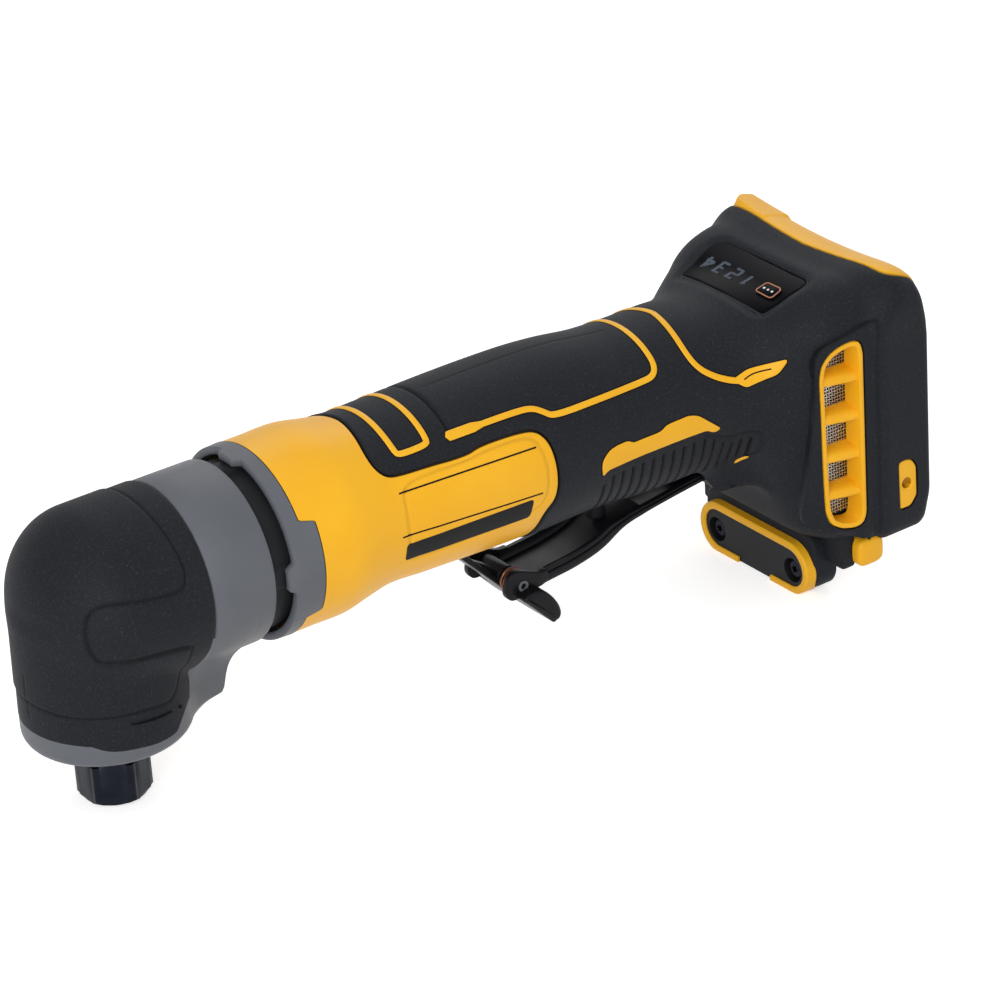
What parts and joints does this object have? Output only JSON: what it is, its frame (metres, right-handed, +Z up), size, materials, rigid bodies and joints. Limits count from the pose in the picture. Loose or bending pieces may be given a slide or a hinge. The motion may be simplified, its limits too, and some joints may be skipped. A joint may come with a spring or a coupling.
{
  "type": "right-angle die grinder",
  "caption": "Cordless right-angle die grinder: rubber-booted angle head with collet nut, grip with paddle switch and lock-off lever, sloped speed display, slide-in battery foot.",
  "frame": {"origin": "on the spindle axis at the collet's mouth, flush with the nut's face", "axes": "+X back along the motor axis to the battery foot, -Y the tool's left side, +Z up the spindle"},
  "size_m": [0.2924, 0.082, 0.105],
  "materials": {
    "boot_rubber": "fine matte grain",
    "grip_rubber": "fine matte grain",
    "case_grey": "satin grey coat on a casting",
    "housing_yellow": "fine moulded satin",
    "dark_plastic": "moulded satin",
    "ring_plastic": "moulded satin",
    "black_steel": "black oxide, oiled",
    "bright_steel": "ground",
    "lever_black": "black gloss coat",
    "lock_black": "moulded gloss",
    "spring_brown": "copper-brown wire",
    "copper": "enamelled wire",
    "board_green": "solder mask",
    "lens_black": "polished",
    "button_orange": "polished, with an orange border",
    "controller_grey": "cast tray, potted",
    "contact_brass": "plated",
    "lead_red": "wire jacket"
  },
  "bodies": {
    "housing": {"head_boot": "boot_rubber", "left_overmold": "grip_rubber", "right_overmold": "grip_rubber", "gear_case": "case_grey", "left_housing": "housing_yellow", "right_housing": "housing_yellow", "left_vent_grille": "housing_yellow", "right_vent_grille": "housing_yellow", "left_vent_screen": "bright_steel", "right_vent_screen": "bright_steel", "air_deflector_ring": "ring_plastic", "fan_baffle": "dark_plastic", "chip_bay_cover": "dark_plastic", "chip_bay_screws": "black_steel", "terminal_block": "dark_plastic", "terminal_blades": "contact_brass", "lever_switch": "dark_plastic", "bearing_retainer": "black_steel", "lower_spindle_bearing": "bright_steel", "upper_spindle_bearing": "bright_steel", "front_rotor_bearing": "bright_steel", "rear_rotor_bearing": "bright_steel", "gear_case_screws": "bright_steel", "housing_screws": "bright_steel", "stator_core": "bright_steel", "stator_windings": "copper", "sensor_board": "board_green", "speed_board": "board_green", "motor_leads": "lead_red", "display_lens": "lens_black", "controller_module": "controller_grey", "lever_pivot_pin": "bright_steel"},
    "rotor": {"rotor_shaft": "bright_steel", "rotor_core": "bright_steel", "cooling_fan": "dark_plastic", "bevel_pinion": "bright_steel"},
    "spindle": {"spindle": "bright_steel", "bevel_gear": "bright_steel"},
    "collet": {"collet": "bright_steel"},
    "collet_nut": {"collet_nut": "black_steel"},
    "lever": {"paddle_lever": "lever_black", "lock_pin": "bright_steel", "lock_spring": "spring_brown"},
    "lock_lever": {"lock_lever": "lock_black"},
    "switch_plunger": {"switch_plunger": "dark_plastic"},
    "speed_button": {"speed_button": "button_orange"}
  },
  "joints": [
    {"name": "rotor_spin", "type": "hinge", "parent": "housing", "child": "rotor", "pos_m": [0.07, 0, 0.061], "axis": [1, 0, 0], "continuous": true},
    {"name": "spindle_spin", "type": "hinge", "parent": "housing", "child": "spindle", "pos_m": [0, 0, 0.061], "axis": [0, 0, 1], "continuous": true},
    {"name": "collet_release", "type": "slide", "parent": "spindle", "child": "collet", "axis": [0, 0, -1], "range_m": [0, 0.00224]},
    {"name": "nut_turn", "type": "hinge", "parent": "collet", "child": "collet_nut", "pos_m": [0, 0, 0.005], "axis": [0, 0, -1], "range_deg": [0, 540]},
    {"name": "lever_squeeze", "type": "hinge", "parent": "housing", "child": "lever", "pos_m": [0.213, 0, 0.028], "axis": [0, 1, 0], "range_deg": [0, 7], "stiffness_Nm_per_rad": 1.5, "springref_deg": -14.32},
    {"name": "lock_swing", "type": "hinge", "parent": "lever", "child": "lock_lever", "pos_m": [0.1367, 0, 0.019], "axis": [0, 1, 0], "range_deg": [-39, 0]},
    {"name": "plunger_press", "type": "slide", "parent": "housing", "child": "switch_plunger", "axis": [0, 0, 1], "range_m": [0, 0.0053]},
    {"name": "speed_press", "type": "slide", "parent": "housing", "child": "speed_button", "axis": [0.4496, 0, -0.8932], "range_m": [0, 0.0005], "stiffness_N_per_m": 400, "springref_m": -0.0005}
  ],
  "couplings": [
    {"joint": "spindle_spin", "follows": "rotor_spin", "ratio": 0.63636},
    {"joint": "nut_turn", "follows": "collet_release", "rad_per_m": 4188.8},
    {"joint": "lock_swing", "follows": "lever_squeeze", "ratio": -5.4},
    {"joint": "plunger_press", "follows": "lever_squeeze", "m_per_rad": 0.041}
  ]
}
